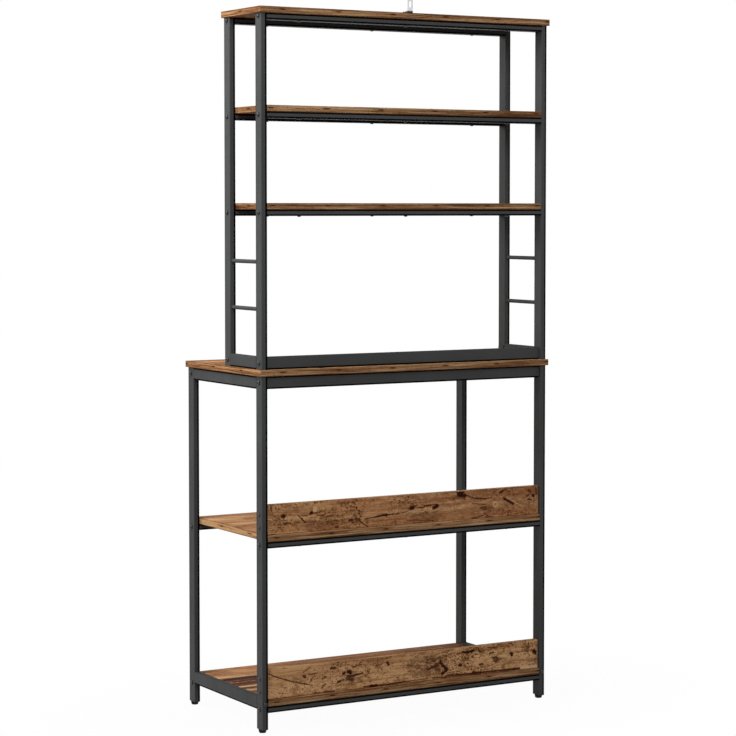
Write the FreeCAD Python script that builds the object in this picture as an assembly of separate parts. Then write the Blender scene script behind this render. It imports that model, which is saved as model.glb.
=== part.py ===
import FreeCAD, Part
import math
import os

# Kitchen rack: a steel frame with a deep lower half, a shallow hutch on its worktop
# and wooden boards. It stands on the floor with its back to a wall.
# X runs along the rack, +Y points to the back, +Z points up. The origin is on the
# floor under the middle of the worktop. Left and right are as seen from the front.
# All lengths are in millimetres. A name that ends in share or shares holds fractions.

# Overall frame
frame_length = 790.0
frame_depth = 390.0
hutch_depth = 190.0

# Heights of the board tops
bottom_level = 77.0
lower_pitch = 384.5
hutch_bay = 384.5
hutch_pitch = 225.0

# Rectangular steel tube
tube_wide = 30.0
tube_thin = 15.0
tube_wall = 1.0
tube_corner = 2.0
tube_inner_corner = 1.0

# Boards
board_thick = 15.0
board_overhang = 5.0
board_edge = 0.8
shelf_end_gap = 0.5
fence_height = 71.0

# Bottom side rails stand a little above the bottom shelf
side_rail_lift = 6.0

# Round rods across each end of the hutch
rod_diameter = 9.5
rod_height_shares = (0.338, 0.675)

# Share of a fastener head's height that its round rim takes
head_round_share = 0.6

# Frame bolts and the threaded plugs in the tube ends
bolt_diameter = 6.0
bolt_head_diameter = 10.0
bolt_head_height = 3.0
bolt_socket_width = 4.0
bolt_socket_depth = 1.6
bolt_hole_gap = 0.25
thread_gap = 0.1
plug_length = 16.0
plug_inset = 1.0
plug_side_gap = 0.3
bolt_end_margin = 2.0

# Wood screws
screw_diameter = 4.0
screw_head_diameter = 8.0
screw_head_height = 2.2
screw_slot_width = 1.2
screw_slot_depth = 1.0
screw_slot_length = 4.6
screw_tip_length = 3.0
screw_tip_share = 0.25
screw_hole_gap = 0.25
shelf_screw_bite = 9.5
shelf_screw_shares = (-0.38, 0.0, 0.38)
fence_screw_bite = 26.0
fence_screw_shares = (0.25, 0.68)

# Room around a head that goes into an upright rail from below
access_gap = 0.4

# Bolts that hold the hutch's base rail on the worktop, with a square nut inside the rail
hutch_bolt_shares = (-0.27, 0.27)
square_nut_width = 10.0
square_nut_height = 5.0

# Angles that hold the front hutch posts on the worktop
bracket_width = 20.0
bracket_thick = 3.0
bracket_tall = 26.0
bracket_reach = 22.0
bracket_bend = 1.0
bracket_corner = 3.0
bracket_screw_inset = 13.0
bracket_screw_bite = 9.0

# Levelling feet
foot_height = 8.0
foot_gap = 0.3
foot_top_diameter = 20.0
foot_bottom_diameter = 15.5
foot_edge = 0.8
stem_diameter = 8.0
stem_length = 20.0
stem_pad_depth = 3.0
stem_chamfer = 0.8
insert_length = 26.0
insert_side_gap = 0.2

# Anti-tip fitting at the middle of the top board's back edge
tab_width = 15.0
tab_thick = 1.5
tab_top = 33.0
tab_leg = 20.0
tab_bend = 1.0
tab_corner = 2.0
tab_slot_width = 6.0
tab_slot_length = 15.4
tab_slot_margin = 5.2
pad_thick = 3.5
tab_screw_bite = 8.0

# Cuts run past the faces that they go through by this much
overrun = 1.0

# Derived places
X, Y, Z = (FreeCAD.Vector(1, 0, 0), FreeCAD.Vector(0, 1, 0), FreeCAD.Vector(0, 0, 1))
half_length = frame_length / 2
inner_half = half_length - tube_thin
back_face = frame_depth / 2
hutch_face = back_face - hutch_depth
leg_rows = {"front": -back_face + tube_wide / 2, "rear": back_face - tube_wide / 2}
hutch_rows = {"front": hutch_face + tube_wide / 2, "rear": back_face - tube_wide / 2}
sides = {"left": -1, "right": 1}
post_x = half_length - tube_thin / 2

middle_level = bottom_level + lower_pitch
worktop_level = middle_level + lower_pitch
hutch_lower_level = worktop_level + hutch_bay
hutch_upper_level = hutch_lower_level + hutch_pitch
top_level = hutch_upper_level + hutch_pitch
worktop_under = worktop_level - board_thick
top_under = top_level - board_thick
base_rail_top = worktop_level + tube_wide
bracket_bolt_height = worktop_level + tube_wide / 2

bolt_hole = bolt_diameter + 2 * bolt_hole_gap
thread_hole = bolt_diameter + 2 * thread_gap
screw_hole = screw_diameter + 2 * screw_hole_gap
pilot_hole = screw_diameter + 2 * thread_gap


def about(centre, size):
    """Both ends of a length laid out about its centre."""
    return centre - size / 2, centre + size / 2


def block(x, y, z):
    """Plain block between pairs of ends."""
    sizes = [end[1] - end[0] for end in (x, y, z)]
    return Part.makeBox(*sizes, FreeCAD.Vector(x[0], y[0], z[0]))


def bar(x, y, z, along, corner):
    """Block whose four edges that run along one axis are rounded."""
    solid = block(x, y, z)
    edges = []
    for edge in solid.Edges:
        if abs(edge.tangentAt(edge.FirstParameter).dot(along)) > 0.5:
            edges.append(edge)
    return solid.makeFillet(corner, edges)


def edges_near(solid, place, along):
    """Edges of a sheet piece that run along one axis and pass through a place."""
    near = Part.Vertex(place)
    found = []
    for edge in solid.Edges:
        straight = abs(edge.tangentAt(edge.FirstParameter).dot(along)) > 0.5
        if straight and edge.distToShape(near)[0] < tab_thick / 4:
            found.append(edge)
    return found


def tube(x, y, z, along):
    """Rectangular steel tube, open at both ends."""
    inner = []
    for ends, axis in ((x, X), (y, Y), (z, Z)):
        if axis == along:
            inner.append((ends[0] - overrun, ends[1] + overrun))
        else:
            inner.append((ends[0] + tube_wall, ends[1] - tube_wall))
    bore = bar(*inner, along, tube_inner_corner)
    return bar(x, y, z, along, tube_corner).cut(bore)


def rod(start, direction, diameter, length):
    """Round bar from a start point."""
    return Part.makeCylinder(diameter / 2, length, start, direction)


def drilled(solid, holes):
    """Solid with round holes, each a start point, direction, diameter and length."""
    if not holes:
        return solid
    return solid.cut([rod(*hole) for hole in holes])


def aimed(shape, seat, direction):
    """Copy of a shape built along +Z, moved to a seat and turned to a direction."""
    placed = shape.copy()
    placed.Placement = FreeCAD.Placement(seat, FreeCAD.Rotation(Z, direction))
    return placed


def domed_head(diameter, height):
    """Low round head below the seat plane, its rim rounded."""
    head = Part.makeCylinder(diameter / 2, height, FreeCAD.Vector(0, 0, -height))
    rim = [edge for edge in head.Edges if edge.BoundBox.ZMax < -height / 2]
    rim = [edge for edge in rim if edge.BoundBox.XLength > diameter / 2]
    return head.makeFillet(height * head_round_share, rim)


def bolt(length):
    """Button-head bolt with a hexagon socket, its shank along +Z from the seat."""
    head = domed_head(bolt_head_diameter, bolt_head_height)
    corners = []
    for turn in range(7):
        angle = math.pi / 3 * turn
        reach = bolt_socket_width / math.sqrt(3)
        corners.append(FreeCAD.Vector(reach * math.cos(angle), reach * math.sin(angle), 0))
    socket = Part.Face(Part.makePolygon(corners)).extrude(Z * (bolt_socket_depth + overrun))
    socket.translate(Z * (-bolt_head_height - overrun))
    shank = rod(FreeCAD.Vector(), Z, bolt_diameter, length)
    return head.cut(socket).fuse(shank).removeSplitter()


def screw(length):
    """Pan-head wood screw with a cross recess, its shank along +Z from the seat."""
    head = domed_head(screw_head_diameter, screw_head_height)
    deep = (-screw_head_height - overrun, -screw_head_height + screw_slot_depth)
    long_side = about(0, screw_slot_length)
    short_side = about(0, screw_slot_width)
    head = head.cut([block(long_side, short_side, deep), block(short_side, long_side, deep)])
    shank = rod(FreeCAD.Vector(), Z, screw_diameter, length - screw_tip_length)
    tip = Part.makeCone(screw_diameter / 2, screw_diameter / 2 * screw_tip_share, screw_tip_length,
                        FreeCAD.Vector(0, 0, length - screw_tip_length))
    return head.fuse([shank, tip]).removeSplitter()


def angle(foot, riser, inside, outside, along, bend, thick):
    """Sheet angle made of two blocks, its bend rounded inside and out."""
    solid = foot.fuse(riser).removeSplitter()
    solid = solid.makeFillet(bend, edges_near(solid, inside, along))
    return solid.makeFillet(bend + thick, edges_near(solid, outside, along))


def save(node, shape):
    """Write one node, made of one solid or of a list of them."""
    if isinstance(shape, list):
        shape = Part.makeCompound(shape)
    shape.exportStep(f"parts/{node}.step")


def rail_list():
    """Every rail along X: its name, row centre, lowest height and whether it stands upright."""
    rails = []
    levels = (("bottom_rail", leg_rows, bottom_level, False),
              ("middle_rail", leg_rows, middle_level, False),
              ("worktop_rail", leg_rows, worktop_level, True),
              ("hutch_lower_rail", hutch_rows, hutch_lower_level, False),
              ("hutch_upper_rail", hutch_rows, hutch_upper_level, False),
              ("top_rail", hutch_rows, top_level, False))
    for name, rows, level, upright in levels:
        tall = tube_wide if upright else tube_thin
        for row, centre in rows.items():
            rails.append((f"{name}_{row}", centre, level - board_thick - tall, upright))
    rails.append(("hutch_base_rail_rear", hutch_rows["rear"], worktop_level, True))
    return rails


def rail_section(upright):
    """Depth along Y and height along Z of a rail."""
    return (tube_thin, tube_wide) if upright else (tube_wide, tube_thin)


def rail_middle(low, upright):
    """Height of a rail's centre line."""
    return low + rail_section(upright)[1] / 2


def bottom_side_rail_ends():
    """Lowest and highest place of the bottom side rails."""
    top = bottom_level + side_rail_lift
    return top - tube_wide, top


def fence_screw_heights():
    """Heights of the screws in the ends of both fences."""
    heights = []
    for level in (bottom_level, middle_level):
        for share in fence_screw_shares:
            heights.append(level + share * fence_height)
    return heights


def post_holes(side, centre, low, high):
    """Bolt and screw holes across a post, along X, for what meets it there."""
    outer = FreeCAD.Vector(sides[side] * (half_length + overrun), centre, 0)
    inward = X * -sides[side]
    length = tube_thin + 2 * overrun
    holes = []
    for name, row_centre, rail_low, upright in rail_list():
        height = rail_middle(rail_low, upright)
        if row_centre == centre and low < height < high:
            holes.append((outer + Z * height, inward, bolt_hole, length))
    if centre == hutch_rows["front"] and low < bracket_bolt_height < high:
        holes.append((outer + Z * bracket_bolt_height, inward, bolt_hole, length))
    if centre == leg_rows["rear"]:
        for height in fence_screw_heights():
            if low < height < high:
                holes.append((outer + Z * height, inward, screw_hole, length))
    return holes


def make_legs():
    """Four lower posts, from the feet to the underside of the worktop."""
    low, high = bottom_side_rail_ends()
    bolt_height = (low + high) / 2
    for row, centre in leg_rows.items():
        for side, sign in sides.items():
            x = about(sign * post_x, tube_thin)
            leg = tube(x, about(centre, tube_wide), (foot_height, worktop_under), Z)
            holes = post_holes(side, centre, foot_height, worktop_under)
            start = FreeCAD.Vector(sign * post_x, centre - tube_wide / 2 - overrun, bolt_height)
            holes.append((start, Y, bolt_hole, tube_wide + 2 * overrun))
            save(f"leg_{row}_{side}", drilled(leg, holes))


def make_hutch_posts():
    """Four upper posts, from the worktop to the underside of the top board."""
    for row, centre in hutch_rows.items():
        for side, sign in sides.items():
            x = about(sign * post_x, tube_thin)
            post = tube(x, about(centre, tube_wide), (worktop_level, top_under), Z)
            holes = post_holes(side, centre, worktop_level, top_under)
            save(f"hutch_post_{row}_{side}", drilled(post, holes))


def make_side_rails():
    """Short rails from front to back at each end."""
    leg_gap = (leg_rows["front"] + tube_wide / 2, leg_rows["rear"] - tube_wide / 2)
    hutch_gap = (hutch_rows["front"] + tube_wide / 2, hutch_rows["rear"] - tube_wide / 2)
    heights = {"worktop_side_rail": (leg_gap, (worktop_under - tube_wide, worktop_under)),
               "bottom_side_rail": (leg_gap, bottom_side_rail_ends()),
               "hutch_base_side_rail": (hutch_gap, (worktop_level, base_rail_top))}
    for name, (y, z) in heights.items():
        for side, sign in sides.items():
            save(f"{name}_{side}", tube(about(sign * post_x, tube_thin), y, z, Y))


def hutch_bolt_places():
    """Distances along X of the bolts that hold the hutch's base rail on the worktop."""
    return [share * frame_length for share in hutch_bolt_shares]


def shelf_screw_places():
    """Distances along X of the screws from a rail up into its board."""
    return [share * 2 * inner_half for share in shelf_screw_shares]


def rail_seat(low, upright):
    """Height where a head bears: under a flat rail, or inside an upright one."""
    return low + tube_wide - tube_wall if upright else low


def rail_holes(place, upright, hole, head):
    """Holes for a fastener that goes up through a rail; an upright one takes the head in."""
    tall = rail_section(upright)[1]
    below = place - Z * overrun
    if not upright:
        return [(below, Z, hole, tall + 2 * overrun)]
    wall = tube_wall + 2 * overrun
    return [(below, Z, head + 2 * access_gap, wall),
            (below + Z * (tall - tube_wall), Z, hole, wall)]


def make_long_rails():
    """Rails along X between the posts, with holes for the screws and hutch bolts."""
    for name, centre, low, upright in rail_list():
        deep, tall = rail_section(upright)
        rail = tube((-inner_half, inner_half), about(centre, deep), (low, low + tall), X)
        place = FreeCAD.Vector(0, centre, low)
        holes = []
        if name.startswith("hutch_base"):
            for x in hutch_bolt_places():
                below = place + X * x - Z * overrun
                holes.append((below, Z, bolt_hole, tube_wall + 2 * overrun))
        else:
            for x in shelf_screw_places():
                holes += rail_holes(place + X * x, upright, screw_hole, screw_head_diameter)
        if name == "worktop_rail_rear":
            for x in hutch_bolt_places():
                holes += rail_holes(place + X * x, upright, bolt_hole, bolt_head_diameter)
        save(name, drilled(rail, holes))


def rod_heights():
    """Heights of the rods, as shares of the gap from the base rail to the next rail."""
    gap = hutch_lower_level - board_thick - tube_thin - base_rail_top
    return [base_rail_top + share * gap for share in rod_height_shares]


def make_rods():
    """Two round rods between the posts at each end of the hutch."""
    start = hutch_rows["front"] + tube_wide / 2
    length = hutch_rows["rear"] - tube_wide / 2 - start
    for side, sign in sides.items():
        for name, height in zip(("lower", "upper"), rod_heights()):
            place = FreeCAD.Vector(sign * post_x, start, height)
            save(f"hutch_rod_{side}_{name}", rod(place, Y, rod_diameter, length))


def board(x, y, z, holes):
    """Wooden board with lightly eased edges and pilot holes."""
    solid = block(x, y, z)
    return drilled(solid.makeFillet(board_edge, solid.Edges), holes)


def pilots_from_below(under, row_centres):
    """Pilot holes in a board's underside above its rails."""
    holes = []
    for centre in row_centres:
        for x in shelf_screw_places():
            place = FreeCAD.Vector(x, centre, under - overrun)
            holes.append((place, Z, pilot_hole, overrun + shelf_screw_bite + thread_gap))
    return holes


def make_shelves():
    """Boards that lie between the posts, flush with the frame's front and back."""
    reach = inner_half - shelf_end_gap
    shelves = {"bottom_shelf": (-back_face, bottom_level, leg_rows),
               "middle_shelf": (-back_face, middle_level, leg_rows),
               "hutch_lower_shelf": (hutch_face, hutch_lower_level, hutch_rows),
               "hutch_upper_shelf": (hutch_face, hutch_upper_level, hutch_rows)}
    for name, (front, level, rows) in shelves.items():
        under = level - board_thick
        holes = pilots_from_below(under, rows.values())
        save(name, board((-reach, reach), (front, back_face), (under, level), holes))


def tab_screw_place():
    """Place on the top board of the anti-tip fitting's screw."""
    return FreeCAD.Vector(0, back_face + board_overhang - tab_thick - tab_leg / 2, top_level)


def bracket_screw_place(sign):
    """Place on the worktop of the screw in one front post's bracket."""
    x = sign * (inner_half - bracket_screw_inset)
    return FreeCAD.Vector(x, hutch_rows["front"], worktop_level)


def make_caps():
    """Worktop and top board, which overhang the frame all round."""
    reach = half_length + board_overhang
    back = back_face + board_overhang
    holes = pilots_from_below(worktop_under, leg_rows.values())
    for x in hutch_bolt_places():
        place = FreeCAD.Vector(x, hutch_rows["rear"], worktop_under - overrun)
        holes.append((place, Z, bolt_hole, board_thick + 2 * overrun))
    for sign in sides.values():
        holes.append((bracket_screw_place(sign) + Z * overrun, -Z, pilot_hole,
                      overrun + bracket_screw_bite + thread_gap))
    worktop = board((-reach, reach), (-back, back), (worktop_under, worktop_level), holes)
    save("worktop", worktop)
    holes = pilots_from_below(top_under, hutch_rows.values())
    holes.append((tab_screw_place() + Z * overrun, -Z, pilot_hole,
                  overrun + tab_screw_bite + thread_gap))
    front = hutch_face - board_overhang
    save("top_board", board((-reach, reach), (front, back), (top_under, top_level), holes))


def make_fences():
    """Low boards that stand at the back of the bottom and middle shelves."""
    reach = inner_half - shelf_end_gap
    centre = leg_rows["rear"]
    for name, level in (("bottom", bottom_level), ("middle", middle_level)):
        holes = []
        for share in fence_screw_shares:
            height = level + share * fence_height
            for sign in sides.values():
                place = FreeCAD.Vector(sign * (reach + overrun), centre, height)
                holes.append((place, X * -sign, pilot_hole,
                              overrun + fence_screw_bite - shelf_end_gap + thread_gap))
        fence = board((-reach, reach), about(centre, board_thick),
                      (level, level + fence_height), holes)
        save(f"{name}_fence", fence)


def make_frame_bolts():
    """Bolts through the posts: long ones into the rails' plugs, short ones into the brackets."""
    shank = bolt(tube_thin + plug_inset + plug_length - bolt_end_margin)
    short_shank = bolt(tube_thin + bracket_thick + bolt_end_margin)
    bolts = []
    for name, centre, low, upright in rail_list():
        height = rail_middle(low, upright)
        for sign in sides.values():
            seat = FreeCAD.Vector(sign * half_length, centre, height)
            bolts.append(aimed(shank, seat, X * -sign))
    for sign in sides.values():
        seat = FreeCAD.Vector(sign * half_length, hutch_rows["front"], bracket_bolt_height)
        bolts.append(aimed(short_shank, seat, X * -sign))
    save("frame_bolts", bolts)


def make_side_rail_bolts():
    """Bolts through the legs, front to back, into the bottom side rails."""
    shank = bolt(tube_wide + plug_inset + plug_length - bolt_end_margin)
    low, high = bottom_side_rail_ends()
    bolts = []
    for centre in leg_rows.values():
        inward = Y if centre < 0 else -Y
        for sign in sides.values():
            seat = FreeCAD.Vector(sign * post_x, centre, (low + high) / 2) - inward * (tube_wide / 2)
            bolts.append(aimed(shank, seat, inward))
    save("side_rail_bolts", bolts)


def end_plug(start, inward, upright):
    """Threaded plug that fills a tube's end, from its outer face inward."""
    wide = tube_wide - 2 * tube_wall - 2 * plug_side_gap
    thin = tube_thin - 2 * tube_wall - 2 * plug_side_gap
    cross = inward.cross(Z)
    width, height = (thin, wide) if upright else (wide, thin)
    low = start - cross * (width / 2) - Z * (height / 2)
    outline = [low, low + cross * width, low + cross * width + Z * height, low + Z * height, low]
    solid = Part.Face(Part.makePolygon(outline)).extrude(inward * plug_length)
    hole = (start - inward * overrun, inward, thread_hole, plug_length + 2 * overrun)
    return drilled(solid, [hole])


def make_end_plugs():
    """Threaded plugs in both ends of every bolted rail."""
    plugs = []
    for name, centre, low, upright in rail_list():
        for sign in sides.values():
            start = FreeCAD.Vector(sign * (inner_half - plug_inset), centre,
                                   rail_middle(low, upright))
            plugs.append(end_plug(start, X * -sign, upright))
    low, high = bottom_side_rail_ends()
    for centre in leg_rows.values():
        inward = Y if centre < 0 else -Y
        for sign in sides.values():
            face = FreeCAD.Vector(sign * post_x, centre, (low + high) / 2)
            start = face + inward * (tube_wide / 2 + plug_inset)
            plugs.append(end_plug(start, inward, True))
    save("rail_end_plugs", plugs)


def make_shelf_screws():
    """Screws up into the boards, through flat rails or from inside upright ones."""
    flat = []
    upright_rails = []
    for name, centre, low, upright in rail_list():
        if name.startswith("hutch_base"):
            continue
        seat_height = rail_seat(low, upright)
        shank = screw(low + rail_section(upright)[1] - seat_height + shelf_screw_bite)
        group = upright_rails if upright else flat
        for x in shelf_screw_places():
            group.append(aimed(shank, FreeCAD.Vector(x, centre, seat_height), Z))
    save("shelf_screws", flat)
    save("worktop_screws", upright_rails)


def make_fence_screws():
    """Screws through the rear legs into the ends of the fences."""
    shank = screw(tube_thin + fence_screw_bite)
    screws = []
    for height in fence_screw_heights():
        for sign in sides.values():
            seat = FreeCAD.Vector(sign * half_length, leg_rows["rear"], height)
            screws.append(aimed(shank, seat, X * -sign))
    save("fence_screws", screws)


def make_hutch_fixings():
    """Bolts up through the worktop into the hutch's base rail, and their nuts."""
    centre = hutch_rows["rear"]
    seat_height = rail_seat(worktop_under - tube_wide, True)
    nut_low = worktop_level + tube_wall
    shank = bolt(nut_low + square_nut_height + bolt_end_margin - seat_height)
    bolts = []
    nuts = []
    for x in hutch_bolt_places():
        bolts.append(aimed(shank, FreeCAD.Vector(x, centre, seat_height), Z))
        nut = block(about(x, square_nut_width), about(centre, square_nut_width),
                    (nut_low, nut_low + square_nut_height))
        hole = (FreeCAD.Vector(x, centre, nut_low - overrun), Z, thread_hole,
                square_nut_height + 2 * overrun)
        nuts.append(drilled(nut, [hole]))
    save("hutch_fixing_bolts", bolts)
    save("hutch_fixing_nuts", nuts)


def make_hutch_brackets():
    """Angles inside the feet of the front hutch posts, and the screws into the worktop."""
    shank = screw(bracket_thick + bracket_screw_bite)
    centre = hutch_rows["front"]
    y = about(centre, bracket_width)
    foot_top = worktop_level + bracket_thick
    top = worktop_level + bracket_tall
    screws = []
    for side, sign in sides.items():
        post_face = sign * inner_half
        inner_face = post_face - sign * bracket_thick
        tip = post_face - sign * bracket_reach
        foot = block(sorted((tip, post_face)), y, (worktop_level, foot_top))
        riser = block(sorted((inner_face, post_face)), y, (worktop_level, top))
        inside = FreeCAD.Vector(inner_face, centre, foot_top)
        outside = FreeCAD.Vector(post_face, centre, worktop_level)
        bracket = angle(foot, riser, inside, outside, Y, bracket_bend, bracket_thick)
        for end in y:
            upper = FreeCAD.Vector((inner_face + post_face) / 2, end, top)
            outer = FreeCAD.Vector(tip, end, (worktop_level + foot_top) / 2)
            bracket = bracket.makeFillet(bracket_corner, edges_near(bracket, upper, X))
            bracket = bracket.makeFillet(bracket_corner, edges_near(bracket, outer, Z))
        through = bracket_thick + 2 * overrun
        bolt_start = FreeCAD.Vector(post_face + sign * overrun, centre, bracket_bolt_height)
        screw_start = bracket_screw_place(sign) - Z * overrun
        holes = [(bolt_start, X * -sign, thread_hole, through),
                 (screw_start, Z, screw_hole, through)]
        save(f"hutch_bracket_{side}", drilled(bracket, holes))
        seat = bracket_screw_place(sign) + Z * bracket_thick
        screws.append(aimed(shank, seat, -Z))
    save("bracket_screws", screws)


def make_feet():
    """Levelling feet: a plug in each leg, a threaded stem and a tapered pad."""
    pad_high = foot_height - foot_gap
    inserts = []
    for row, centre in leg_rows.items():
        for side, sign in sides.items():
            base = FreeCAD.Vector(sign * post_x, centre, 0)
            x = about(sign * post_x, tube_thin - 2 * tube_wall - 2 * insert_side_gap)
            y = about(centre, tube_wide - 2 * tube_wall - 2 * insert_side_gap)
            insert = bar(x, y, (foot_height, foot_height + insert_length), Z, tube_inner_corner)
            hole = (base + Z * (foot_height - overrun), Z, stem_diameter + 2 * thread_gap,
                    insert_length + 2 * overrun)
            inserts.append(drilled(insert, [hole]))
            pad = Part.makeCone(foot_bottom_diameter / 2, foot_top_diameter / 2, pad_high, base)
            rims = [edge for edge in pad.Edges if edge.BoundBox.ZLength < pad_high / 2]
            pad = pad.makeFillet(foot_edge, rims)
            stem_low = base + Z * (pad_high - stem_pad_depth)
            stem_high = stem_pad_depth + foot_gap + stem_length
            stem = rod(stem_low, Z, stem_diameter, stem_high)
            top = [edge for edge in stem.Edges if edge.BoundBox.ZMin > foot_height]
            stem = stem.makeChamfer(stem_chamfer, top)
            save(f"foot_pad_{row}_{side}", pad.cut(rod(stem_low, Z, stem_diameter, foot_height)))
            save(f"foot_stem_{row}_{side}", stem)
    save("leg_inserts", inserts)


def make_anti_tip():
    """Slotted angle that stands at the back edge of the top board, with its pad and screw."""
    back = back_face + board_overhang
    width = about(0, tab_width)
    hole_centre = tab_screw_place()
    pad_top = top_level + pad_thick
    hole = (hole_centre - Z * overrun, Z, screw_hole, pad_thick + tab_thick + 2 * overrun)
    pad = block(width, (back - tab_thick - tab_leg, back), (top_level, pad_top))
    save("anti_tip_pad", drilled(pad, [hole]))

    foot = block(width, (back - tab_thick - tab_leg, back), (pad_top, pad_top + tab_thick))
    riser = block(width, (back - tab_thick, back), (pad_top, top_level + tab_top))
    inside = FreeCAD.Vector(0, back - tab_thick, pad_top + tab_thick)
    outside = FreeCAD.Vector(0, back, pad_top)
    bracket = angle(foot, riser, inside, outside, X, tab_bend, tab_thick)
    for end in width:
        corner = FreeCAD.Vector(end, back - tab_thick / 2, top_level + tab_top)
        bracket = bracket.makeFillet(tab_corner, edges_near(bracket, corner, Y))
    slot_top = top_level + tab_top - tab_slot_margin
    slot_low = slot_top - tab_slot_length
    radius = tab_slot_width / 2
    through = (back - tab_thick - overrun, back + overrun)
    cuts = [block(about(0, tab_slot_width), through, (slot_low + radius, slot_top - radius))]
    for height in (slot_low + radius, slot_top - radius):
        cuts.append(rod(FreeCAD.Vector(0, through[0], height), Y, tab_slot_width,
                        through[1] - through[0]))
    save("anti_tip_bracket", drilled(bracket.cut(cuts), [hole]))

    seat = hole_centre + Z * (pad_thick + tab_thick)
    save("anti_tip_screw", aimed(screw(pad_thick + tab_thick + tab_screw_bite), seat, -Z))


os.makedirs("parts", exist_ok=True)
make_legs()
make_hutch_posts()
make_side_rails()
make_long_rails()
make_rods()
make_shelves()
make_caps()
make_fences()
make_frame_bolts()
make_side_rail_bolts()
make_end_plugs()
make_shelf_screws()
make_fence_screws()
make_hutch_fixings()
make_hutch_brackets()
make_feet()
make_anti_tip()
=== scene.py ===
import math

import bmesh
import bpy
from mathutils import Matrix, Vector


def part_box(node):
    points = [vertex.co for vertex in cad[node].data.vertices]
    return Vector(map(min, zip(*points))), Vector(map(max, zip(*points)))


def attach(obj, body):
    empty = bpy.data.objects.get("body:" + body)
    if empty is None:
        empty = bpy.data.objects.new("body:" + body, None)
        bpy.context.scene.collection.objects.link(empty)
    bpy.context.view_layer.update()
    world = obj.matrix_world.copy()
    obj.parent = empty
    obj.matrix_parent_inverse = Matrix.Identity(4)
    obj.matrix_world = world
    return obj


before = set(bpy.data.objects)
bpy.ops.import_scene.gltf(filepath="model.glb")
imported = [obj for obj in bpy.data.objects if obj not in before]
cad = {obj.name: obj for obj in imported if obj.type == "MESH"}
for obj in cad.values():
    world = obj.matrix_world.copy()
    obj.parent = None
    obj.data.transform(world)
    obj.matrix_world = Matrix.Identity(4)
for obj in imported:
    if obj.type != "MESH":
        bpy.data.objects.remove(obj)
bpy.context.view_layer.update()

MM = 0.001


# Helpers for node trees

def plug(tree, socket, value):
    """Links value to the socket if it is a socket, and otherwise writes it there."""
    if isinstance(value, bpy.types.NodeSocket):
        tree.links.new(value, socket)
    else:
        socket.default_value = value


def put(tree, kind, inputs=None, **settings):
    """Adds one shader node with its settings and inputs."""
    node = tree.nodes.new("ShaderNode" + kind)
    for name, value in settings.items():
        setattr(node, name, value)
    for key, value in (inputs or {}).items():
        plug(tree, node.inputs[key], value)
    return node


def maths(tree, operation, *values, clamp=False):
    node = put(tree, "Math", operation=operation, use_clamp=clamp)
    for socket, value in zip(node.inputs, values):
        plug(tree, socket, value)
    return node.outputs[0]


def chain(tree, operation, first, others):
    for other in others:
        first = maths(tree, operation, first, other)
    return first


def plus(tree, first, *others):
    return chain(tree, "ADD", first, others)


def times(tree, first, *others):
    return chain(tree, "MULTIPLY", first, others)


def most(tree, first, *others):
    return chain(tree, "MAXIMUM", first, others)


def minus(tree, first, second):
    return maths(tree, "SUBTRACT", first, second)


def over(tree, first, second):
    return maths(tree, "DIVIDE", first, second)


def centred(tree, noise, share):
    """Noise about 0 instead of about 0.5, times share."""
    return times(tree, minus(tree, noise, 0.5), share)


def hypotenuse(tree, first, second):
    return maths(tree, "SQRT", plus(tree, times(tree, first, first), times(tree, second, second)))


def vectors(tree, operation, *values):
    node = put(tree, "VectorMath", operation=operation)
    for socket, value in zip(node.inputs, values):
        plug(tree, socket, value)
    plain = operation in ("DOT_PRODUCT", "LENGTH", "DISTANCE")
    return node.outputs["Value" if plain else "Vector"]


def scaled(tree, vector, share):
    node = put(tree, "VectorMath", {"Vector": vector, "Scale": share}, operation="SCALE")
    return node.outputs["Vector"]


def split(tree, vector):
    return put(tree, "SeparateXYZ", {"Vector": vector}).outputs


def join(tree, x, y, z):
    return put(tree, "CombineXYZ", {"X": x, "Y": y, "Z": z}).outputs["Vector"]


def fade(tree, value, start, end, low=0.0, high=1.0):
    """Goes smoothly from low at start to high at end."""
    node = put(tree, "MapRange", {"Value": value, "From Min": start, "From Max": end,
                                  "To Min": low, "To Max": high}, interpolation_type="SMOOTHSTEP")
    return node.outputs["Result"]


def opaque(colour):
    """Gives a plain (red, green, blue) its alpha, and leaves a socket as it is."""
    return (*colour, 1.0) if isinstance(colour, tuple) else colour


def blend(tree, share, first, second, how="MIX"):
    """Mixes two colours."""
    node = put(tree, "Mix", data_type="RGBA", blend_type=how)
    for place, value in zip((0, 6, 7), (share, opaque(first), opaque(second))):
        plug(tree, node.inputs[place], value)
    return node.outputs[2]


def between(tree, share, first, second):
    """Mixes two numbers."""
    node = put(tree, "Mix", data_type="FLOAT")
    for place, value in zip((0, 2, 3), (share, first, second)):
        plug(tree, node.inputs[place], value)
    return node.outputs[0]


def cloud(tree, point, wave, detail=3.0, rough=0.55, bend=0.0):
    """Noise whose waves have the given lengths, in metres."""
    return put(tree, "TexNoise", {"Vector": vectors(tree, "DIVIDE", point, wave), "Scale": 1.0,
                                  "Detail": detail, "Roughness": rough, "Distortion": bend}).outputs["Fac"]


def cells(tree, point, size, randomness=1.0, dimensions="2D"):
    """Voronoi cells of the given size, in metres."""
    return put(tree, "TexVoronoi", {"Vector": vectors(tree, "DIVIDE", point, size), "Scale": 1.0,
                                    "Randomness": randomness},
               feature="F1", voronoi_dimensions=dimensions).outputs


def ramp(tree, value, stops):
    node = put(tree, "ValToRGB", {"Fac": value})
    bar = node.color_ramp
    while len(bar.elements) < len(stops):
        bar.elements.new(1.0)
    for element, (place, colour) in zip(bar.elements, stops):
        element.position = place
        element.color = opaque(colour)
    return node.outputs["Color"]


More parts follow.
